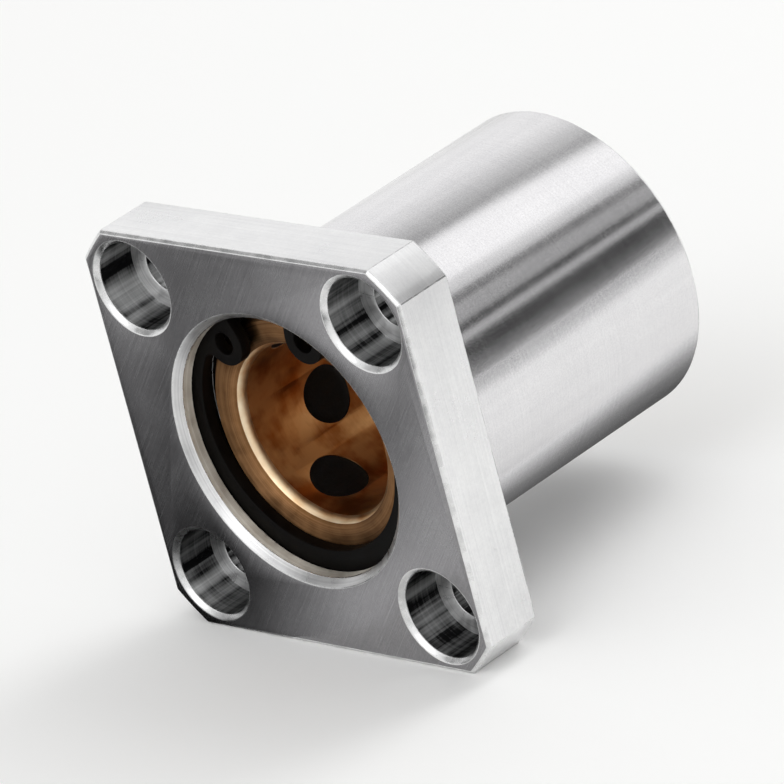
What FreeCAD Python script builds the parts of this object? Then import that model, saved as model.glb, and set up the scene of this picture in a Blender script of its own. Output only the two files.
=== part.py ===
import FreeCAD, Part
import math
import os

# Square flange linear bearing with a graphite plugged bronze sleeve, in millimetres.
# The shaft runs along Y. The flange seats on the plane Y = 0, its front face looks to -Y,
# the barrel runs on to +Y, and Z is up.

# Shaft and sleeve
shaft_diameter = 16.0
shaft_clearance = 0.015        # radial, shaft to sleeve
sleeve_diameter = 22.0
sleeve_mouth_chamfer = 0.7     # lead-in for the shaft, both ends
sleeve_edge_chamfer = 0.45     # outer edge, both ends

# Graphite plugs, in rings round the sleeve
plug_diameter = 5.0
plug_rings = 6
plugs_in_ring = 3
first_ring_setback = 5.1       # sleeve's front face to the middle of the first ring
last_ring_setback = 3.45       # sleeve's rear face to the middle of the last ring
plug_ring_turn = -48.0         # each ring is turned on from the one before
first_plug_angle = -118.0      # from +X towards +Z, as every angle here

# Housing
total_length = 37.0
barrel_diameter = 28.0
barrel_end_chamfer = 0.45
relief_width = 0.8             # grinding relief in the corner of barrel and seat
relief_depth = 0.25
flange_side = 37.0
flange_round = 48.5            # the turned diameter that leaves the flange's corners
flange_thickness = 6.0
flange_edge_chamfer = 0.25
housing_fit = 0.02             # radial, sleeve to housing bore

# Recess and circlip groove at each end of the housing
recess_diameter = 24.0
recess_mouth_chamfer = 0.65
groove_setback = 1.8           # end face to groove
groove_width = 1.3
groove_diameter = 25.2
moat_depth = 1.2               # recess floor below the sleeve's face
sleeve_end_play = 0.05         # each circlip to the sleeve

# Screw holes in the flange
bolt_circle = 38.0
bolt_count = 4
bolt_hole = 4.5
counterbore_diameter = 8.0
counterbore_depth = 4.1
counterbore_mouth_chamfer = 0.4

# Circlips, with a band that narrows towards two drilled lugs
circlip_thickness = 1.2
circlip_fit = 0.05             # radial, circlip to groove
circlip_wide = 2.4             # band opposite the gap
circlip_narrow = 1.3           # what the band would narrow to at the gap
lug_hole_setback = 2.25        # rim to the middle of the lug's hole
lug_radius = 2.05
lug_hole = 2.0
lug_half_angle = 28.5          # lug to the middle of the gap
lug_root_fillet = 1.0
front_gap_angle = 98.0
rear_gap_angle = 205.0

# How the cuts are made
cut_past = 1.0                 # each cutter runs on past the face that it opens
level = 0.001                  # an edge that rises less than this lies flat

# Sizes that follow
bore_radius = shaft_diameter / 2 + shaft_clearance
sleeve_radius = sleeve_diameter / 2
housing_bore_radius = sleeve_radius + housing_fit
front_y = -flange_thickness
rear_y = total_length - flange_thickness
sleeve_setback = groove_setback + (groove_width + circlip_thickness) / 2 + sleeve_end_play
sleeve_front_y = front_y + sleeve_setback
sleeve_rear_y = rear_y - sleeve_setback
circlip_setback = groove_setback + (groove_width - circlip_thickness) / 2
circlip_radius = groove_diameter / 2 - circlip_fit
lug_centre_radius = circlip_radius - lug_hole_setback
first_ring_y = sleeve_front_y + first_ring_setback
last_ring_y = sleeve_rear_y - last_ring_setback
plug_ring_pitch = (last_ring_y - first_ring_y) / (plug_rings - 1)

origin = FreeCAD.Vector(0, 0, 0)
shaft_axis = FreeCAD.Vector(0, 1, 0)


def turned(points):
    """The solid that the outline (radius, y) sweeps round the shaft axis."""
    outline = [FreeCAD.Vector(radius, y, 0) for radius, y in points]
    face = Part.Face(Part.makePolygon(outline + outline[:1]))
    return face.revolve(origin, shaft_axis, 360)


def rod(radius, start_y, end_y, x=0, z=0):
    """A round bar along the shaft axis."""
    return Part.makeCylinder(radius, end_y - start_y, FreeCAD.Vector(x, start_y, z), shaft_axis)


def recess_outline(face_y, inward):
    """Half the outline of the hole through the housing, from one end face to its bore."""
    recess_radius = recess_diameter / 2
    groove_radius = groove_diameter / 2
    steps = [
        (recess_radius + 2 * recess_mouth_chamfer, -recess_mouth_chamfer),
        (recess_radius, recess_mouth_chamfer),
        (recess_radius, groove_setback),
        (groove_radius, groove_setback),
        (groove_radius, groove_setback + groove_width),
        (recess_radius, groove_setback + groove_width),
        (recess_radius, sleeve_setback + moat_depth),
        (housing_bore_radius, sleeve_setback + moat_depth),
    ]
    return [(radius, face_y + inward * depth) for radius, depth in steps]


def bolt_places():
    """Centres (x, z) of the screw holes, one on each diagonal of the flange."""
    places = []
    for number in range(bolt_count):
        angle = math.radians(45 + 360 / bolt_count * number)
        places.append((bolt_circle / 2 * math.cos(angle), bolt_circle / 2 * math.sin(angle)))
    return places


def flange():
    """Square plate whose corners lie on the turned blank, with broken edges front and back."""
    half = flange_side / 2
    square = Part.makeBox(flange_side, flange_thickness, flange_side,
                          FreeCAD.Vector(-half, front_y, -half))
    plate = square.common(rod(flange_round / 2, front_y, 0))
    outline_edges = [edge for edge in plate.Edges if edge.BoundBox.YLength < level]
    return plate.makeChamfer(flange_edge_chamfer, outline_edges)


def barrel():
    """The ground barrel, rooted in the flange, with a chamfered rear edge."""
    radius = barrel_diameter / 2
    return turned([
        (0, -flange_thickness / 2),
        (radius, -flange_thickness / 2),
        (radius, rear_y - barrel_end_chamfer),
        (radius - barrel_end_chamfer, rear_y),
        (0, rear_y),
    ])


def relief():
    """Undercut into the corner of barrel and seat, so that both can be ground right up to it."""
    radius = barrel_diameter / 2
    return turned([
        (radius, relief_width),
        (radius - relief_depth, -relief_depth),
        (radius + relief_width, 0),
        (radius + relief_width, relief_width),
    ])


def screw_hole(x, z):
    """Counterbored hole, cut from the front face, with its mouth chamfered."""
    head = counterbore_diameter / 2
    shank = bolt_hole / 2
    floor_y = front_y + counterbore_depth
    cutter = turned([
        (0, front_y - counterbore_mouth_chamfer),
        (head + 2 * counterbore_mouth_chamfer, front_y - counterbore_mouth_chamfer),
        (head, front_y + counterbore_mouth_chamfer),
        (head, floor_y),
        (shank, floor_y),
        (shank, cut_past),
        (0, cut_past),
    ])
    cutter.translate(FreeCAD.Vector(x, 0, z))
    return cutter


def housing():
    """Flange and barrel in one piece of bearing steel, bored through for the sleeve."""
    front = recess_outline(front_y, 1)
    rear = recess_outline(rear_y, -1)
    ends = [(0, front[0][1])] + front + rear[::-1] + [(0, rear[0][1])]
    body = flange().fuse(barrel()).cut(turned(ends)).cut(relief())
    for x, z in bolt_places():
        body = body.cut(screw_hole(x, z))
    return body.removeSplitter()


def sleeve_blank():
    """The bronze tube before it is drilled for its plugs."""
    return turned([
        (bore_radius + sleeve_mouth_chamfer, sleeve_front_y),
        (sleeve_radius - sleeve_edge_chamfer, sleeve_front_y),
        (sleeve_radius, sleeve_front_y + sleeve_edge_chamfer),
        (sleeve_radius, sleeve_rear_y - sleeve_edge_chamfer),
        (sleeve_radius - sleeve_edge_chamfer, sleeve_rear_y),
        (bore_radius + sleeve_mouth_chamfer, sleeve_rear_y),
        (bore_radius, sleeve_rear_y - sleeve_mouth_chamfer),
        (bore_radius, sleeve_front_y + sleeve_mouth_chamfer),
    ])


def plug_drills():
    """One radial bar for each plug: three to a ring, each ring turned on from the last."""
    drills = []
    for ring in range(plug_rings):
        y = first_ring_y + ring * plug_ring_pitch
        for number in range(plugs_in_ring):
            turn = first_plug_angle + ring * plug_ring_turn + number * 360 / plugs_in_ring
            angle = math.radians(turn)
            outward = FreeCAD.Vector(math.cos(angle), 0, math.sin(angle))
            drills.append(Part.makeCylinder(plug_diameter / 2, sleeve_diameter,
                                            FreeCAD.Vector(0, y, 0), outward))
    return drills


def mean_point(centre, start, end, towards):
    """The middle of the arc about centre from start to end that bulges to one side."""
    radius = start.distanceToPoint(centre)
    across = (start - centre) + (end - centre)
    across.normalize()
    if across.dot(towards) < 0:
        across = across * -1
    return centre + across * radius


def circles_cross(centre, radius, other, other_radius):
    """Where two circles in the ring's plane meet, on the side nearer the lug's own side."""
    between = other - centre
    distance = between.Length
    along = (radius ** 2 - other_radius ** 2 + distance ** 2) / (2 * distance)
    aside = math.sqrt(radius ** 2 - along ** 2)
    between.normalize()
    square_to = FreeCAD.Vector(-between.z, 0, between.x)
    return centre + between * along + square_to * aside


def mirrored(point):
    """The same point on the other side of the gap's middle line, which is X here."""
    return FreeCAD.Vector(point.x, point.y, -point.z)


def circlip_outline():
    """Outline of an internal circlip in the XZ plane, with its gap towards +X."""
    inner_radius = circlip_radius - (circlip_wide + circlip_narrow) / 2
    inner_centre = FreeCAD.Vector((circlip_wide - circlip_narrow) / 2, 0, 0)
    lug_angle = math.radians(lug_half_angle)
    lug = FreeCAD.Vector(lug_centre_radius * math.cos(lug_angle), 0,
                         lug_centre_radius * math.sin(lug_angle))

    # The free end runs straight in from the rim and is tangent to the lug.
    end_angle = lug_angle - math.asin(lug_radius / lug_centre_radius)
    end_ray = FreeCAD.Vector(math.cos(end_angle), 0, math.sin(end_angle))
    rim_end = end_ray * circlip_radius
    lug_start = end_ray * math.sqrt(lug_centre_radius ** 2 - lug_radius ** 2)

    # A fillet blends the back of the lug into the inner edge of the band.
    root = circles_cross(inner_centre, inner_radius - lug_root_fillet,
                         lug, lug_radius + lug_root_fillet)
    lug_end = lug + (root - lug) * (lug_radius / (lug_radius + lug_root_fillet))
    from_centre = root - inner_centre
    from_centre.normalize()
    band_start = inner_centre + from_centre * inner_radius

    far_side = FreeCAD.Vector(-1, 0, 0)
    lug_tip = mean_point(lug, lug_start, lug_end, origin - lug)
    root_middle = mean_point(root, lug_end, band_start, (lug - root) + (root - inner_centre))
    half = [
        Part.LineSegment(rim_end, lug_start),
        Part.Arc(lug_start, lug_tip, lug_end),
        Part.Arc(lug_end, root_middle, band_start),
    ]
    edges = [piece.toShape() for piece in half]
    other_half = []
    for piece in half:
        other_half.append(piece.toShape().mirror(origin, FreeCAD.Vector(0, 0, 1)))
    band = Part.Arc(band_start, inner_centre + far_side * inner_radius, mirrored(band_start))
    rim = Part.Arc(mirrored(rim_end), far_side * circlip_radius, rim_end)
    loop = edges + [band.toShape()] + other_half[::-1] + [rim.toShape()]
    return Part.Wire(Part.__sortEdges__(loop)), (lug, mirrored(lug))


def circlip(start_y, gap_angle):
    """A stamped internal circlip, its gap turned to gap_angle."""
    wire, lugs = circlip_outline()
    ring = Part.Face(wire).extrude(shaft_axis * circlip_thickness)
    for lug in lugs:
        ring = ring.cut(rod(lug_hole / 2, 0, circlip_thickness, lug.x, lug.z))
    ring.rotate(origin, shaft_axis, -gap_angle)
    ring.translate(FreeCAD.Vector(0, start_y, 0))
    return ring


def build():
    """Every piece of the bearing, by node name."""
    wall = sleeve_blank()
    drills = plug_drills()
    plain_wall = rod(sleeve_radius, sleeve_front_y, sleeve_rear_y)
    plain_wall = plain_wall.cut(rod(bore_radius, sleeve_front_y, sleeve_rear_y))
    parts = {
        "flange_housing": housing(),
        "bronze_sleeve": wall.cut(drills),
        "front_circlip": circlip(front_y + circlip_setback, front_gap_angle),
        "rear_circlip": circlip(rear_y - circlip_setback - circlip_thickness, rear_gap_angle),
    }
    for number, drill in enumerate(drills, start=1):
        parts["graphite_plug_%02d" % number] = drill.common(plain_wall)
    return parts


os.makedirs("parts", exist_ok=True)
for name, shape in build().items():
    solid = shape.Solids[0]
    solid.exportStep("parts/%s.step" % name)
    print(name, len(shape.Solids), "solid,", round(solid.Volume, 1), "mm3, valid", solid.isValid())
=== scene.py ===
import math
import bmesh
import bpy
from mathutils import Matrix, Vector


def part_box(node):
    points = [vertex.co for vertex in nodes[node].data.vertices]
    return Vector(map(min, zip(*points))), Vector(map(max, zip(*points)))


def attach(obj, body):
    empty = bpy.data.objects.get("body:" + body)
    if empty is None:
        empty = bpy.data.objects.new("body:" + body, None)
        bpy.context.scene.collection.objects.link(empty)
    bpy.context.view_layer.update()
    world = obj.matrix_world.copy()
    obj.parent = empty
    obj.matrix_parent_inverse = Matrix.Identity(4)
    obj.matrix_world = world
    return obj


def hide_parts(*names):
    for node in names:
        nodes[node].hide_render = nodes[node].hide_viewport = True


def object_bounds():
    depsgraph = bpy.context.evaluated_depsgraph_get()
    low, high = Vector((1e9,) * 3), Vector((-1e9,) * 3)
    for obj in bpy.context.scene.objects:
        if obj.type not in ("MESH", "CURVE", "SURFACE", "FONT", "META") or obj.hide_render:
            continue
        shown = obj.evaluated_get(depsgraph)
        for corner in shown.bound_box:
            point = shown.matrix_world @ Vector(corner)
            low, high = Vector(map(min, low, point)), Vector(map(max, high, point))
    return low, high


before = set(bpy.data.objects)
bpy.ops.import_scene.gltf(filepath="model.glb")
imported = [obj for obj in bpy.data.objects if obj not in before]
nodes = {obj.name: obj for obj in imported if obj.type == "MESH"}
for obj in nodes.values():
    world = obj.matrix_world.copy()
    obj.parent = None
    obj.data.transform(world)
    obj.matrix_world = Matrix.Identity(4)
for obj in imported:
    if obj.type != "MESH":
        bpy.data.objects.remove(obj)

# Flanged shaft bearing: ground steel housing, bronze sleeve with graphite plugs, black circlips.
# The shaft runs along Y, the flange faces -Y, Z is up, and everything is in metres.
mm = 0.001
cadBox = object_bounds()
print("frame loaded,", len(nodes), "nodes")


# Small helpers

def hexColour(text):
    # sRGB hex to the linear colour that the shaders want
    channels = [int(text[i:i + 2], 16) / 255 for i in (1, 3, 5)]
    return [c / 12.92 if c <= 0.04045 else ((c + 0.055) / 1.055) ** 2.4 for c in channels] + [1.0]


def addNode(tree, kind, inputs=None, **settings):
    # one node with its settings; an input takes another node, one output of a node, or a plain value
    node = tree.nodes.new(kind)
    for name, value in settings.items():
        setattr(node, name, value)
    for key, value in (inputs or {}).items():
        if isinstance(value, bpy.types.Node):
            value = value.outputs[0]
        if isinstance(value, bpy.types.NodeSocket):
            tree.links.new(value, node.inputs[key])
        else:
            node.inputs[key].default_value = value
    return node


def emptyMaterial(name):
    material = bpy.data.materials.new(name)
    material.use_nodes = True
    material.node_tree.nodes.clear()
    return material, material.node_tree


def linkObject(name, mesh):
    piece = bpy.data.objects.new(name, mesh)
    bpy.context.scene.collection.objects.link(piece)
    return piece


# Camera, at the photograph's angle and moved in on the part
cameraSizes = {
    "azimuth": 49.0,      # degrees from the front, towards +X
    "elevation": 22.97,
    "roll": -14.88,       # the camera leans, so the right of the picture dips
    "distance": 737.0 * mm,
    "near": 10 * mm,      # nothing closer than this is drawn
    "lens": 404.0,        # mm, on a sensor 36 mm wide
    "aim": Vector((-1.9 * mm, 8.7 * mm, -2.0 * mm)),
}


def towards(azimuth, elevation):
    # the direction in which something stands: degrees from the front towards +X, and degrees up
    a = math.radians(azimuth)
    e = math.radians(elevation)
    return Vector((math.sin(a) * math.cos(e), -math.cos(a) * math.cos(e), math.sin(e)))


def addCamera(sizes):
    back = towards(sizes["azimuth"], sizes["elevation"])
    lean = Matrix.Rotation(math.radians(sizes["roll"]), 3, "Z").to_quaternion()
    data = bpy.data.cameras.new("camera")
    data.lens = sizes["lens"]
    data.dof.use_dof = False
    data.clip_start = sizes["near"]
    camera = bpy.data.objects.new("camera", data)
    camera.location = sizes["aim"] + back * sizes["distance"]
    camera.rotation_mode = "QUATERNION"
    camera.rotation_quaternion = (-back).to_track_quat("-Z", "Y") @ lean
    bpy.context.scene.collection.objects.link(camera)
    bpy.context.scene.camera = camera


# Studio: a pale floor in a pale room, and two soft lamps that light it. Metal doesn't mirror the lamps.
# It mirrors cards that nothing else sees, whose glow is 1 where they are white and fades between the
# places given. The ring stands behind the part, and each of its steps gives the barrel one long band.
studio = {
    "floorColour": "#f8f8f7",
    "floorLevel": cadBox[0].z,
    "floorSide": 6.0,
    "roomColour": "#fcfcfc",   # what the camera and the metal see
    "roomFill": 0.80,          # what the room adds to matt surfaces
    "lamps": {
        "backSoftbox": {"azimuth": 162, "elevation": 50, "distance": 0.8, "size": (0.30, 0.6), "power": 1.6},
        "frontSoftbox": {"azimuth": 16, "elevation": 48, "distance": 0.9, "size": (0.4, 0.4), "power": 0.9},
    },
    "ring": {
        "plane": 0.6,              # how far behind the part
        "reach": (0.32, 1.9),      # inner and outer radius
        "glow": {                  # by degrees about the shaft, from +X towards +Z
            0.5: 0.30, 6: 0.16, 11: 0.07, 15: 0.035, 22.5: 0.035, 24.2: 0.50, 28.4: 0.50, 29.8: 0.045,
            34.5: 0.07, 35.5: 0.38, 46: 0.43, 47.5: 0.16, 53: 0.18, 54: 0.66, 65: 1.08, 67: 1.15, 92: 1.15,
            95: 0.88, 98: 0.41, 104: 0.44, 110: 0.54, 116: 0.69, 124: 0.82, 136: 0.95,
        },
    },
    # Cards that face the part from some direction
    "aimedCards": {
        "frontLampCard": {"azimuth": 17, "elevation": 37, "distance": 0.9, "size": (0.6, 0.5), "glow": 1.8},
        "frontScreen": {"azimuth": -60, "elevation": 39, "distance": 1.5, "size": (1.2, 0.82), "glow": 0.36},
    },
    # Cards on the floor, turned by some degrees. Their two long edges are given by mm along Y and mm up
    # from the floor, and their glow by mm along X; rise is how much lighter the second edge is.
    "floorCards": {
        # painted shadow: a dark sheet under the barrel that only the metal sees, standing in for the barrel's
        # shadow on the floor and fading to pale towards +X
        "barrelShadowCard": {
            "turn": 0, "edges": ((0.5, 0.1), (60, 0.1)), "rise": 0.0,
            "glow": {-12: 0.05, 3: 0.12, 7.4: 0.2, 9.8: 0.34, 12.3: 0.56, 15: 0.9}},
        "farCard": {
            "turn": 0, "edges": ((60, 0.1), (1500, 0.1)), "rise": 0.0,
            "glow": {95: 0.9, 130: 0.74, 250: 0.58, 1600: 0.4}},
        # painted shade: a dark sheet on the floor and a dark screen at the front left, seen only in the
        # metal, stand in for a second bearing there and the shadow that it casts
        "neighbourShadowCard": {
            "turn": -49, "edges": ((-170, 0.1), (-8, 0.1)), "rise": 0.0,
            "glow": {-40: 0.98, -26: 0.7, -14: 0.1, -9: 0.01, -5: 0.01, -1: 0.14, 3: 0.4, 8: 0.8, 14: 0.98}},
        "neighbourShadeScreen": {
            "turn": -49, "edges": ((-45, 0), (-45, 21)), "rise": 0.24,
            "glow": {-34: 0.75, -22: 0.4, -13: 0.05, -8: 0.0, -5: 0.02, 0: 0.14, 5: 0.25, 14: 0.7, 20: 0.9}},
        "rightCard": {
            "turn": 0, "edges": ((-200, 0.2), (-58, 0.2)), "rise": 0.0,
            "glow": {-10: 0.9, 10: 0.2, 70: 0.35, 120: 0.9}},
    },
}


def addFloor():
    mesh = bpy.data.meshes.new("floor")
    half = studio["floorSide"] / 2
    corners = [(x * half, y * half, studio["floorLevel"]) for x, y in ((-1, -1), (1, -1), (1, 1), (-1, 1))]
    mesh.from_pydata(corners, [], [(0, 1, 2, 3)])
    material, tree = emptyMaterial("pale matt floor")
    shader = addNode(tree, "ShaderNodeBsdfDiffuse", {"Color": hexColour(studio["floorColour"])})
    addNode(tree, "ShaderNodeOutputMaterial", {"Surface": shader})
    mesh.materials.append(material)
    linkObject("floor", mesh)


def addCard(name, rows, rise=0.0):
    # a sheet of glowing paper that shows in metal and nowhere else: a row is two corners and the glow at
    # the first one, and the second one has that much more
    mesh = bpy.data.meshes.new(name)
    corners = [corner for first, second, glow in rows for corner in (first, second)]
    faces = [(2 * i, 2 * i + 1, 2 * i + 3, 2 * i + 2) for i in range(len(rows) - 1)]
    mesh.from_pydata(corners, [], faces)
    glows = mesh.attributes.new("glow", "FLOAT", "POINT")
    glows.data.foreach_set("value", [value for first, second, glow in rows for value in (glow, glow + rise)])
    material, tree = emptyMaterial(name + " paper")
    painted = addNode(tree, "ShaderNodeAttribute", attribute_name="glow")
    shader = addNode(tree, "ShaderNodeEmission", {"Strength": painted.outputs["Fac"]})
    addNode(tree, "ShaderNodeOutputMaterial", {"Surface": shader})
    mesh.materials.append(material)
    piece = linkObject(name, mesh)
    piece.visible_camera = False
    piece.visible_diffuse = False
    piece.visible_shadow = False


def addRing(ring):
    middle = Vector((0, ring["plane"], 0))
    inner, outer = ring["reach"]
    rows = []
    for degrees, glow in ring["glow"].items():
        angle = math.radians(degrees)
        arm = Vector((math.cos(angle), 0, math.sin(angle)))
        rows.append((middle + arm * inner, middle + arm * outer, glow))
    addCard("ring", rows)


def addAimedCard(name, card):
    width, height = card["size"]
    back = towards(card["azimuth"], card["elevation"])
    middle = cameraSizes["aim"] + back * card["distance"]
    level = Vector((0, 0, 1)).cross(back).normalized() * width / 2
    upright = back.cross(level).normalized() * height / 2
    ends = [middle - level, middle + level]
    addCard(name, [(end - upright, end + upright, card["glow"]) for end in ends])


def addFloorCard(name, card):
    turn = Matrix.Rotation(math.radians(card["turn"]), 3, "Z")
    floor = Vector((0, 0, studio["floorLevel"]))
    rows = []
    for x, glow in card["glow"].items():
        first, second = [floor + turn @ Vector((x, y, height)) * mm for y, height in card["edges"]]
        rows.append((first, second, glow))
    addCard(name, rows, card["rise"])


def addLamp(name, lamp):
    data = bpy.data.lights.new(name, "AREA")
    data.shape = "RECTANGLE"
    data.size, data.size_y = lamp["size"]
    data.energy = lamp["power"]
    piece = bpy.data.objects.new(name, data)
    back = towards(lamp["azimuth"], lamp["elevation"])
    piece.location = cameraSizes["aim"] + back * lamp["distance"]
    piece.rotation_euler = (-back).to_track_quat("-Z", "Y").to_euler()
    piece.visible_glossy = False
    bpy.context.scene.collection.objects.link(piece)


def addRoom():
    world = bpy.data.worlds.new("pale room")
    world.use_nodes = True
    tree = world.node_tree
    tree.nodes.clear()
    colour = hexColour(studio["roomColour"])
    path = addNode(tree, "ShaderNodeLightPath").outputs
    seen = path["Is Camera Ray"]
    for kind in ("Is Glossy Ray", "Is Transmission Ray"):
        seen = addNode(tree, "ShaderNodeMath", {0: seen, 1: path[kind]}, operation="MAXIMUM")
    fill = addNode(tree, "ShaderNodeBackground", {"Color": colour, "Strength": studio["roomFill"]})
    pale = addNode(tree, "ShaderNodeBackground", {"Color": colour})
    mixed = addNode(tree, "ShaderNodeMixShader", {0: seen, 1: fill, 2: pale})
    addNode(tree, "ShaderNodeOutputWorld", {"Surface": mixed})
    bpy.context.scene.world = world
    bpy.context.scene.view_settings.view_transform = "Standard"


addCamera(cameraSizes)
addFloor()
addRoom()
addRing(studio["ring"])
for name, card in studio["aimedCards"].items():
    addAimedCard(name, card)
for name, card in studio["floorCards"].items():
    addFloorCard(name, card)
for name, lamp in studio["lamps"].items():
    addLamp(name, lamp)
print("camera and studio ready")


# How a finish is built. Each pattern is noise, stretched to its real size in mm along the three axes,
# and tone, sheen and height are its shares in the colour, the roughness and the relief.
noiseLook = {
    "detail": 2.0,
    "roughness": 0.6,
    "usual": (0.35, 0.65),     # noise seldom leaves this range
}


def turnedPoints(tree, place, centre, wallRadius):
    # places about an axis parallel to the shaft: rings by radius and depth, and spokes out from the axis,
    # which become lines along a wall
    middle = (centre[0], 0, centre[1])
    depth = addNode(tree, "ShaderNodeSeparateXYZ", {0: place}).outputs
    arm = addNode(tree, "ShaderNodeVectorMath", {0: place, 1: middle}, operation="SUBTRACT")
    flatArm = addNode(tree, "ShaderNodeVectorMath", {0: arm, 1: (1, 0, 1)}, operation="MULTIPLY")
    radius = addNode(tree, "ShaderNodeVectorMath", {0: flatArm}, operation="LENGTH").outputs["Value"]
    rings = addNode(tree, "ShaderNodeCombineXYZ", {0: radius, 1: depth["Y"], 2: depth["X"]})
    outward = addNode(tree, "ShaderNodeVectorMath", {0: flatArm}, operation="NORMALIZE")
    spokes = addNode(tree, "ShaderNodeVectorMath", {0: outward, 1: (wallRadius * mm,) * 3, 2: middle},
                     operation="MULTIPLY_ADD")
    return {"rings": rings, "spokes": spokes}


def ringTangent(tree, centre):
    # along the shaft on a wall and outwards on a face: turned rings stretch a highlight that way
    surface = addNode(tree, "ShaderNodeNewGeometry").outputs
    middle = (centre[0], 0, centre[1])
    arm = addNode(tree, "ShaderNodeVectorMath", {0: surface["Position"], 1: middle}, operation="SUBTRACT")
    along = addNode(tree, "ShaderNodeVectorMath", {0: arm, 1: (0, 1, 0)}, operation="CROSS_PRODUCT")
    return addNode(tree, "ShaderNodeVectorMath", {0: surface["Normal"], 1: along}, operation="CROSS_PRODUCT")


def drawPattern(tree, points, pattern):
    turn = (0, math.radians(pattern.get("turn", 0)), 0)
    place = points[pattern.get("on", "object")]
    turned = addNode(tree, "ShaderNodeMapping", {"Vector": place, "Rotation": turn})
    scale = [1 / (size * mm) for size in pattern["size"]]
    stretched = addNode(tree, "ShaderNodeMapping", {"Vector": turned, "Scale": scale})
    drawn = addNode(tree, "ShaderNodeTexNoise", {
        "Vector": stretched, "Scale": 1.0, "Detail": pattern.get("detail", noiseLook["detail"]),
        "Roughness": noiseLook["roughness"]})
    if "above" in pattern:
        # only the peaks stay, as single marks
        low, high = pattern["above"]
        drawn = addNode(tree, "ShaderNodeMapRange", {"Value": drawn, "From Min": low, "From Max": high})
    return drawn


def newFinish(name, finish, centre=(0, 0)):
    material, tree = emptyMaterial(name)
    points = {"object": addNode(tree, "ShaderNodeTexCoord").outputs["Object"]}
    if "wallRadius" in finish:
        points.update(turnedPoints(tree, points["object"], centre, finish["wallRadius"]))
    shares = {"tone": 0.0, "sheen": 0.0, "height": 0.0}
    for pattern in finish["patterns"]:
        drawn = drawPattern(tree, points, pattern)
        for kind in shares:
            if kind in pattern:
                shares[kind] = addNode(tree, "ShaderNodeMath", {0: drawn, 1: pattern[kind], 2: shares[kind]},
                                       operation="MULTIPLY_ADD")
    colour = addNode(tree, "ShaderNodeValToRGB", {0: shares["tone"]})
    for element, (place, text) in zip(colour.color_ramp.elements, finish["colour"].items()):
        element.position = place
        element.color = hexColour(text)
    roughness = addNode(tree, "ShaderNodeMapRange", {
        "Value": shares["sheen"], "From Min": noiseLook["usual"][0], "From Max": noiseLook["usual"][1],
        "To Min": finish["roughness"][0], "To Max": finish["roughness"][1]})
    relief = addNode(tree, "ShaderNodeBump", {
        "Height": shares["height"], "Distance": finish["depth"] * mm, "Strength": 1.0})
    inputs = {
        "Base Color": colour, "Roughness": roughness, "Normal": relief,
        "Metallic": finish.get("metallic", 1.0), "Specular IOR Level": finish.get("specular", 0.5),
        "Anisotropic": finish.get("stretch", 0.0)}
    if finish.get("across") == "rings":
        inputs["Tangent"] = ringTangent(tree, centre)
    elif "across" in finish:
        angle = math.radians(finish["across"])
        across = {"X": math.sin(angle), "Z": math.cos(angle)}
        inputs["Tangent"] = addNode(tree, "ShaderNodeCombineXYZ", across)
    shader = addNode(tree, "ShaderNodeBsdfPrincipled", inputs)
    addNode(tree, "ShaderNodeOutputMaterial", {"Surface": shader})
    return material


# Housing finishes

# surface-ground bearing steel: grey and satin, darker than the milled sides partly as painted shade, with
# fine diagonal grinding lines and a few long scratches
groundFace = {
    "colour": {0.38: "#8b8a8c", 0.70: "#a7a6a8"},
    "roughness": (0.20, 0.30),
    "stretch": 0.55,
    "across": 52,              # the highlight stretches across the grinding lines
    "depth": 0.0015,
    "patterns": [
        # grinding lines, drawn coarser than the real grit so that they show
        {"size": (8, 0.10, 0.10), "turn": 52, "detail": 3, "tone": 0.45, "sheen": 0.5, "height": 1.0},
        {"size": (16, 0.22, 0.22), "turn": 52, "above": (0.68, 0.76), "tone": 0.2, "height": -0.8},
        {"size": (0.16, 0.16, 0.16), "tone": 0.3, "height": 0.6},
        {"size": (7, 7, 7), "detail": 4, "tone": 0.25, "sheen": 0.5},
    ],
}

# centreless-ground bearing steel: mirror bands along the barrel, with close rings and a fine sparkle
groundBarrel = {
    "colour": {0.35: "#d9d8da", 0.65: "#f0eff0"},
    "roughness": (0.14, 0.23),
    "stretch": 0.75,
    "across": "rings",
    "depth": 0.0012,
    "patterns": [
        {"size": (25, 0.10, 25), "tone": 0.2, "sheen": 0.2, "height": 0.5},
        {"size": (0.15, 0.15, 0.15), "tone": 0.45, "sheen": 0.3, "height": 1.0},
        {"size": (1.1, 16, 1.1), "detail": 3, "tone": 0.2, "sheen": 0.3},
        {"size": (6, 6, 6), "detail": 3, "tone": 0.15, "sheen": 0.2},
    ],
}

# milled bearing steel: light and satin, with faint cutter lines along the flange's edge
milledSide = {
    "colour": {0.36: "#e3e3e4", 0.62: "#f6f6f6"},
    "roughness": (0.27, 0.38),
    "depth": 0.0016,
    "patterns": [
        {"size": (14, 0.16, 14), "detail": 3, "tone": 0.35, "height": 1.0},
        {"size": (0.2, 0.2, 0.2), "tone": 0.25, "height": 0.6},
        {"size": (3.5, 3.5, 3.5), "detail": 4, "tone": 0.4, "sheen": 1.0},
    ],
}

# counterbored steel: close rings from the cutter, and near-black and white spokes, partly chatter marks and
# partly painted reflection streaks
counterbored = {
    "colour": {0.44: "#19191a", 0.74: "#f2f3f3"},
    "roughness": (0.26, 0.40),
    "stretch": 1.0,
    "across": "rings",
    "depth": 0.004,
    "wallRadius": 4.0,
    "patterns": [
        {"on": "rings", "size": (0.2, 0.2, 20), "tone": 0.1, "height": 0.6},
        {"on": "spokes", "size": (1.6, 1.6, 1.6), "detail": 4, "tone": 0.7, "sheen": 0.6},
        {"size": (3, 3, 3), "tone": 0.2, "sheen": 0.4},
    ],
}

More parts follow.
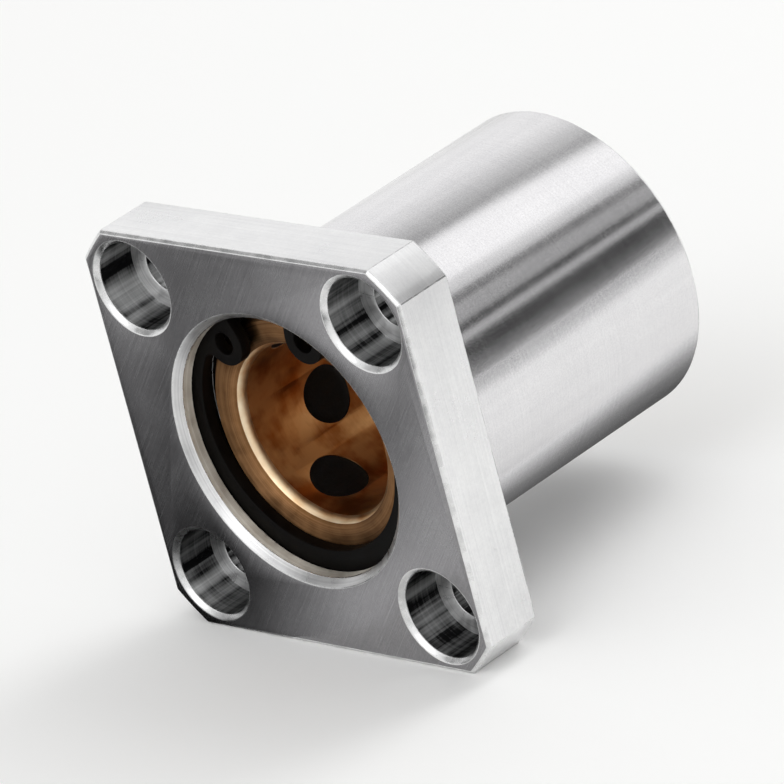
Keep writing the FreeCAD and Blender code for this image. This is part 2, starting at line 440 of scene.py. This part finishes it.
# finely turned steel: bright, with close concentric rings
finelyTurned = {
    "colour": {0.36: "#c4c4c5", 0.62: "#ececec"},
    "roughness": (0.24, 0.38),
    "stretch": 0.5,
    "across": "rings",
    "depth": 0.006,
    "wallRadius": 12.0,
    "patterns": [
        {"on": "rings", "size": (0.18, 0.18, 20), "tone": 0.5, "height": 1.0},
        {"on": "spokes", "size": (2.0, 2.0, 2.0), "detail": 3, "tone": 0.2, "sheen": 0.5},
        {"size": (3, 3, 3), "detail": 4, "tone": 0.3, "sheen": 0.5},
    ],
}

# coarsely bored steel: ridges deep enough to scatter light far along the shaft, tinted a little brown
coarselyBored = {
    "colour": {0.36: "#dad0c1", 0.60: "#fdf8ee"},
    "roughness": (0.36, 0.56),
    "stretch": 1.0,
    "across": "rings",
    "depth": 0.06,
    "wallRadius": 12.0,
    "patterns": [
        {"on": "rings", "size": (0.28, 0.28, 20), "tone": 0.6, "height": 1.0},
        {"size": (2.5, 2.5, 2.5), "detail": 4, "tone": 0.4, "sheen": 1.0},
    ],
}

# the groove and the moat behind the circlip, painted near black as shade: brown-black with a wet sheen
grooveShadeFinish = {
    "colour": {0.35: "#14100c", 0.70: "#382e26"},
    "roughness": (0.25, 0.45),
    "metallic": 0.3,
    "specular": 0.3,
    "depth": 0.01,
    "patterns": [{"size": (1.2, 1.2, 1.2), "detail": 4, "tone": 1.0, "sheen": 1.0, "height": 1.0}],
}

# edges broken with a stone: brighter than the faces beside them, a little uneven
stonedEdge = {
    "colour": {0.30: "#cfd0d0", 0.60: "#eeeeee"},
    "roughness": (0.22, 0.32),
    "depth": 0.002,
    "patterns": [{"size": (1.4, 1.4, 1.4), "detail": 3, "tone": 1.0, "sheen": 1.0, "height": 1.0}],
}

# Sleeve finishes

# faced tin bronze: dull gold, darker than the bored bronze partly as painted shade, with fine rings from the
# lathe
facedBronze = {
    "colour": {0.38: "#7a5636", 0.60: "#aa7f57"},
    "roughness": (0.34, 0.48),
    "stretch": 0.95,
    "across": "rings",
    "depth": 0.004,
    "wallRadius": 10.0,
    "patterns": [
        {"on": "rings", "size": (0.13, 0.13, 20), "tone": 0.45, "height": 1.0},
        {"size": (3, 3, 3), "detail": 4, "tone": 0.55, "sheen": 1.0},
    ],
}

# bored tin bronze, rubbed by graphite: a deeper copper brown, smooth, with soft darker blotches
boredBronze = {
    "colour": {0.40: "#b97e46", 0.60: "#dfae74"},
    "roughness": (0.28, 0.42),
    "stretch": 0.3,
    "across": "rings",
    "depth": 0.0008,
    "wallRadius": 8.0,
    "patterns": [
        {"on": "rings", "size": (0.2, 0.2, 20), "tone": 0.1, "height": 1.0},
        {"size": (3.2, 3.2, 3.2), "detail": 3, "tone": 0.9, "sheen": 1.0},
    ],
}

# the sleeve's mouth, rubbed by shafts and painted pale as a highlight: pale gold and smooth
rubbedAndHighlitLip = {
    "colour": {0.30: "#e6c195", 0.70: "#fdebcc"},
    "roughness": (0.30, 0.40),
    "depth": 0.001,
    "patterns": [{"size": (1.8, 1.8, 1.8), "tone": 1.0, "sheen": 1.0, "height": 1.0}],
}

# Finishes of the black pieces

# stamped spring steel, phosphated and oiled: near black with a brown cast and a fine crystal grain
phosphated = {
    "colour": {0.40: "#040303", 0.66: "#0e0b08"},
    "roughness": (0.40, 0.60),
    "metallic": 0.0,
    "specular": 0.08,
    "depth": 0.003,
    "patterns": [
        {"size": (0.12, 0.12, 0.12), "tone": 0.4, "height": 1.0},
        {"size": (1.6, 1.6, 1.6), "detail": 4, "tone": 0.6, "sheen": 1.0},
    ],
}

# pressed graphite, wiped by the shaft: near black, finely pored, with a soft grey sheen along the bore
pressedGraphite = {
    "colour": {0.42: "#040404", 0.68: "#131212"},
    "roughness": (0.42, 0.62),
    "metallic": 0.0,
    "specular": 0.15,
    "depth": 0.01,
    "patterns": [
        {"size": (0.22, 0.22, 0.22), "detail": 3, "tone": 0.6, "height": 1.0},
        {"size": (0.3, 2.5, 0.3), "tone": 0.4, "sheen": 1.0},
    ],
}


# Pieces

meshing = {
    "weld": 0.0005 * mm,       # corners closer than this are one
    "flat": 0.6,               # degrees between two faces that are one flat face
    "edge": 25,                # from this angle on an edge gets a radius
    "crease": 35,              # from this angle on an edge isn't shaded smooth
}

# how squarely a face looks in a direction, from 0 to 1
facing = {
    "flat": 0.99,              # a flat face across the shaft
    "turned": 0.999,           # a face turned about the shaft
    "wall": 0.9,               # a wall about the shaft, or a floor across it
    "side": 0.3,               # a side along the shaft looks less than this along it
}


def weldedCopy(name, node):
    # the CAD node's own shape with its loose triangles welded and its flat faces joined
    flat = math.radians(meshing["flat"])
    build = bmesh.new()
    build.from_mesh(nodes[node].data)
    bmesh.ops.remove_doubles(build, verts=build.verts, dist=meshing["weld"])
    bmesh.ops.dissolve_limit(build, angle_limit=flat, verts=build.verts, edges=build.edges)
    mesh = bpy.data.meshes.new(name)
    build.to_mesh(mesh)
    build.free()
    mesh.materials.clear()
    return linkObject(name, mesh)


def madePlain(piece):
    # the result of the piece's modifiers becomes its mesh
    view = bpy.context.evaluated_depsgraph_get()
    mesh = bpy.data.meshes.new_from_object(piece.evaluated_get(view))
    piece.modifiers.clear()
    piece.data = mesh
    return mesh


def roundEdges(piece, width, segments, edgeSlot):
    # a real radius on every sharp edge, with the finish in that slot
    bevel = piece.modifiers.new("edges", "BEVEL")
    bevel.limit_method = "ANGLE"
    bevel.angle_limit = math.radians(meshing["edge"])
    bevel.width = width
    bevel.segments = segments
    bevel.material = edgeSlot
    bevel.use_clamp_overlap = True
    bevel.miter_outer = "MITER_ARC"
    mesh = madePlain(piece)
    mesh.shade_smooth()
    mesh.set_sharp_from_angle(angle=math.radians(meshing["crease"]))


def paint(piece, materials, rule):
    # rule(centre, normal) gives the place in the list of materials
    for material in materials:
        piece.data.materials.append(material)
    for face in piece.data.polygons:
        face.material_index = rule(face.center, face.normal)


def aboutShaft(centre, normal):
    # distance from the shaft's axis, and how far the face looks away from it: 1 outwards, -1 inwards
    radius = math.hypot(centre.x, centre.z)
    outward = (centre.x * normal.x + centre.z * normal.z) / radius if radius else 0
    return radius, outward


def settle(piece, body, slot, *replaced):
    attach(piece, body)
    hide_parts(*replaced)


housingLow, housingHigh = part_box("flange_housing")
housingSizes = {
    "edgeRadius": 0.07 * mm,
    "edgeSegments": 2,
    "frontFace": housingLow.y,
    "rearFace": housingHigh.y,
    "sideHalf": housingHigh.x,
    "barrelRadius": 14.0 * mm,
    "mouthRadius": 12.7 * mm,      # just outside the recess's chamfer
    "grooveRadius": 13.0 * mm,     # just outside the circlip groove
    "grooveStart": 1.75 * mm,      # from each end face
    "screwCentre": 13.435 * mm,
    "headRadius": 4.02 * mm,
    "headMouth": 0.6 * mm,         # depth of the part of each hole that a stone reaches
    "shankReach": 3.0 * mm,        # between the screw's hole and the counterbore's wall
    "screwReach": 4.6 * mm,        # just outside the chamfer of a counterbore
    "slack": 0.02 * mm,            # how near is on a place
}


def makeHousing():
    s = housingSizes
    piece = weldedCopy("flangeHousing", "flange_housing")
    centres = [(x * s["screwCentre"], z * s["screwCentre"]) for x in (-1, 1) for z in (-1, 1)]
    materials = [
        newFinish("surface ground steel", groundFace), newFinish("milled steel", milledSide),
        newFinish("centreless ground steel", groundBarrel), newFinish("finely turned steel", finelyTurned),
        newFinish("stoned steel edge", stonedEdge), newFinish("painted shade groove steel", grooveShadeFinish),
        newFinish("coarsely bored steel", coarselyBored)]
    face, side, barrel, turned, edge, shadedGroove, bored, hole = range(8)
    for number, centre in enumerate(centres, start=1):
        materials.append(newFinish("counterbored steel %d" % number, counterbored, centre))
    holeFloor = len(materials)
    for number, centre in enumerate(centres, start=1):
        materials.append(newFinish("counterbore floor steel %d" % number, finelyTurned, centre))

    def finish(centre, normal):
        radius, outward = aboutShaft(centre, normal)
        inSide = max(abs(centre.x), abs(centre.z)) < s["sideHalf"] - s["slack"]
        if abs(normal.y) > facing["flat"] and min(centre.y - s["frontFace"], abs(centre.y)) < s["slack"]:
            return face
        if centre.y < s["slack"] and radius > s["mouthRadius"]:
            for i, (x, z) in enumerate(centres):
                fromScrew = math.hypot(centre.x - x, centre.z - z)
                if fromScrew < s["headRadius"]:
                    return (holeFloor if normal.y < -facing["wall"] else hole) + i
                if fromScrew < s["screwReach"] and inSide and outward < facing["turned"]:
                    return edge
            return side if abs(normal.y) < facing["side"] else edge
        if outward > facing["wall"] and radius > s["barrelRadius"] - s["slack"]:
            return barrel
        fromEnd = min(centre.y - s["frontFace"], s["rearFace"] - centre.y)
        # the groove and the moat behind each circlip get the painted shade
        if fromEnd > s["grooveStart"] and radius < s["grooveRadius"]:
            return shadedGroove
        return bored if outward < -facing["wall"] else turned

    paint(piece, materials, finish)
    roundEdges(piece, s["edgeRadius"], s["edgeSegments"], edge)
    # no stone reaches the steps inside the screw holes, so their edges keep the cutter's finish
    for polygon in piece.data.polygons:
        middle = polygon.center
        inside = s["frontFace"] + s["headMouth"] < middle.y < -s["headMouth"]
        for i, (x, z) in enumerate(centres):
            fromScrew = math.hypot(middle.x - x, middle.z - z)
            if polygon.material_index == edge and inside and fromScrew < s["screwReach"]:
                polygon.material_index = (holeFloor if fromScrew < s["shankReach"] else hole) + i
    settle(piece, "housing", "bearing_steel", "flange_housing")


sleeveLow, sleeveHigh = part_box("bronze_sleeve")
sleeveSizes = {
    "boreRadius": 8.015 * mm,
    "mouthChamfer": 0.7 * mm,
    "lipRadius": 0.44 * mm,       # the mouth's chamfer is rubbed nearly round
    "lipSegments": 5,
    "edgeRadius": 0.08 * mm,
    "edgeSegments": 2,
    "slack": 0.03 * mm,
}


def makeSleeve():
    s = sleeveSizes
    piece = weldedCopy("bronzeSleeve", "bronze_sleeve")
    faced, bore, lip = range(3)

    def finish(centre, normal):
        radius, outward = aboutShaft(centre, normal)
        fromEnd = min(centre.y - sleeveLow.y, sleeveHigh.y - centre.y)
        inMouth = radius < s["boreRadius"] + s["mouthChamfer"] and s["slack"] < fromEnd < s["mouthChamfer"]
        if inMouth and abs(normal.y) > facing["side"]:
            return lip
        return bore if outward < -facing["wall"] and radius < s["boreRadius"] + s["slack"] else faced

    paint(piece, [newFinish("faced tin bronze", facedBronze), newFinish("bored tin bronze", boredBronze),
                  newFinish("burnished and highlit tin bronze", rubbedAndHighlitLip)], finish)

    # each mouth has an outer rim, which keeps the face's finish, and an inner rim, which shafts have rubbed
    # and which carries the lip's painted highlight
    rims = []
    for end, inward in ((sleeveLow.y, 1), (sleeveHigh.y, -1)):
        rims.append((s["boreRadius"] + s["mouthChamfer"], end, faced))
        rims.append((s["boreRadius"], end + inward * s["mouthChamfer"], lip))
    build = bmesh.new()
    build.from_mesh(piece.data)
    for radius, y, slot in rims:
        near = [vertex for vertex in build.verts
                if math.hypot(math.hypot(vertex.co.x, vertex.co.z) - radius, vertex.co.y - y) < s["slack"]]
        rim = [line for line in build.edges if all(vertex in near for vertex in line.verts)]
        bmesh.ops.bevel(build, geom=rim, offset=s["lipRadius"], segments=s["lipSegments"], profile=0.5,
                        affect="EDGES", material=slot)
        print("mouth rim rounded,", len(rim), "edges")
    build.to_mesh(piece.data)
    build.free()
    roundEdges(piece, s["edgeRadius"], s["edgeSegments"], faced)
    settle(piece, "sleeve", "cast_bronze", "bronze_sleeve")


circlipSizes = {
    "edgeRadius": 0.12 * mm,      # stamped and tumbled
    "edgeSegments": 3,
    "bodies": {"front_circlip": ("frontCirclip", "front_ring"), "rear_circlip": ("rearCirclip", "rear_ring")},
}


def makeCirclips():
    s = circlipSizes
    black = newFinish("phosphated spring steel", phosphated)
    for node, (name, body) in s["bodies"].items():
        piece = weldedCopy(name, node)
        paint(piece, [black], lambda centre, normal: 0)
        roundEdges(piece, s["edgeRadius"], s["edgeSegments"], 0)
        settle(piece, body, "phosphated_spring_steel", node)


plugSizes = {
    "Diameter": 5.0 * mm,
    "Bore Radius": 8.015 * mm,
    "Sleeve Radius": 11.0 * mm,
    "Rim Width": 0.35 * mm,      # the plug's ends are rounded off over this width
    "Rim Depth": 0.07 * mm,
    "Sides": 48,
    "Rings": 9,                  # rings of faces across each end
}
plugCrease = 50                  # degrees


def plugTree(material):
    # one plug for each point: a rod across the sleeve's wall whose ends follow the bore and the outside
    tree = bpy.data.node_groups.new("graphite plugs", "GeometryNodeTree")
    tree.interface.new_socket("Geometry", in_out="INPUT", socket_type="NodeSocketGeometry")
    for name, value in plugSizes.items():
        kind = "NodeSocketInt" if isinstance(value, int) else "NodeSocketFloat"
        tree.interface.new_socket(name, in_out="INPUT", socket_type=kind)
    tree.interface.new_socket("Geometry", in_out="OUTPUT", socket_type="NodeSocketGeometry")
    given = addNode(tree, "NodeGroupInput").outputs

    # the rod stands on Z; its end at -Z goes to the bore, its end at +Z to the sleeve's outside
    rimRadius = addNode(tree, "ShaderNodeMath", {0: given["Diameter"], 1: 0.5}, operation="MULTIPLY")
    rod = addNode(tree, "GeometryNodeMeshCylinder", {
        "Vertices": given["Sides"], "Fill Segments": given["Rings"], "Radius": rimRadius, "Depth": 1.0},
        fill_type="TRIANGLE_FAN")
    place = addNode(tree, "ShaderNodeSeparateXYZ", {0: addNode(tree, "GeometryNodeInputPosition")}).outputs
    outer = addNode(tree, "ShaderNodeMath", {0: place["Z"], 1: 0.0}, operation="GREATER_THAN")
    wall = addNode(tree, "GeometryNodeSwitch", {
        "Switch": outer, "False": given["Bore Radius"], "True": given["Sleeve Radius"]}, input_type="FLOAT")

    # the end's height at a distance to one side, from the circle that it follows
    sideways = addNode(tree, "ShaderNodeMath", {0: place["X"], 1: place["X"]}, operation="MULTIPLY")
    wallSquare = addNode(tree, "ShaderNodeMath", {0: wall, 1: wall}, operation="MULTIPLY")
    reachSquare = addNode(tree, "ShaderNodeMath", {0: wallSquare, 1: sideways}, operation="SUBTRACT")
    reach = addNode(tree, "ShaderNodeMath", {0: reachSquare}, operation="SQRT")

    # the rim is rounded off: it drops a little over the last part of the way out, away from the bore at
    # one end and away from the outside at the other
    flat = addNode(tree, "ShaderNodeCombineXYZ", {0: place["X"], 1: place["Y"]})
    fromAxis = addNode(tree, "ShaderNodeVectorMath", {0: flat}, operation="LENGTH").outputs["Value"]
    fromRim = addNode(tree, "ShaderNodeMath", {0: rimRadius, 1: fromAxis}, operation="SUBTRACT")
    drop = addNode(tree, "ShaderNodeMapRange", {
        "Value": fromRim, "From Min": 0.0, "From Max": given["Rim Width"],
        "To Min": given["Rim Depth"], "To Max": 0.0}, interpolation_type="SMOOTHSTEP")
    inwards = addNode(tree, "ShaderNodeMath", {0: outer, 1: -2.0, 2: 1.0}, operation="MULTIPLY_ADD")
    height = addNode(tree, "ShaderNodeMath", {0: drop, 1: inwards, 2: reach}, operation="MULTIPLY_ADD")
    bentPlace = addNode(tree, "ShaderNodeCombineXYZ", {0: place["X"], 1: place["Y"], 2: height})
    bent = addNode(tree, "GeometryNodeSetPosition", {"Geometry": rod, "Position": bentPlace})

    # each point lies in the wall; its plug stands on the shaft's axis, turned to point at it
    centre = addNode(tree, "ShaderNodeSeparateXYZ", {0: addNode(tree, "GeometryNodeInputPosition")}).outputs
    turn = addNode(tree, "ShaderNodeMath", {0: centre["X"], 1: centre["Z"]}, operation="ARCTAN2")
    kept = addNode(tree, "GeometryNodeStoreNamedAttribute", {
        "Geometry": given["Geometry"], "Name": "turn", "Value": turn}, data_type="FLOAT", domain="POINT")
    onShaft = addNode(tree, "GeometryNodeSetPosition", {
        "Geometry": kept, "Position": addNode(tree, "ShaderNodeCombineXYZ", {1: centre["Y"]})})
    keptTurn = addNode(tree, "GeometryNodeInputNamedAttribute", {"Name": "turn"}, data_type="FLOAT")
    pointing = addNode(tree, "ShaderNodeCombineXYZ", {1: keptTurn})
    placed = addNode(tree, "GeometryNodeInstanceOnPoints", {
        "Points": onShaft, "Instance": bent, "Rotation": pointing})
    real = addNode(tree, "GeometryNodeRealizeInstances", {0: placed})
    done = addNode(tree, "GeometryNodeSetMaterial", {"Geometry": real, "Material": material})
    addNode(tree, "NodeGroupOutput", {0: done})
    return tree


def makePlugs():
    plugNodes = [name for name in nodes if name.startswith("graphite_plug")]
    centres = [(low + high) / 2 for low, high in map(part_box, plugNodes)]
    mesh = bpy.data.meshes.new("graphitePlugs")
    mesh.from_pydata(centres, [], [])
    piece = linkObject("graphitePlugs", mesh)
    modifier = piece.modifiers.new("plugs", "NODES")
    modifier.node_group = plugTree(newFinish("pressed graphite", pressedGraphite))
    for socket in modifier.node_group.interface.items_tree:
        if socket.item_type == "SOCKET" and socket.name in plugSizes:
            modifier[socket.identifier] = plugSizes[socket.name]
    mesh = madePlain(piece)
    mesh.shade_smooth()
    mesh.set_sharp_from_angle(angle=math.radians(plugCrease))
    settle(piece, "sleeve", "graphite", *plugNodes)
    print("graphite plugs,", len(plugNodes), "in the sleeve,", len(mesh.polygons), "faces")


makeHousing()
print("housing ready")
makeSleeve()
print("sleeve ready")
makeCirclips()
print("circlips ready")
makePlugs()
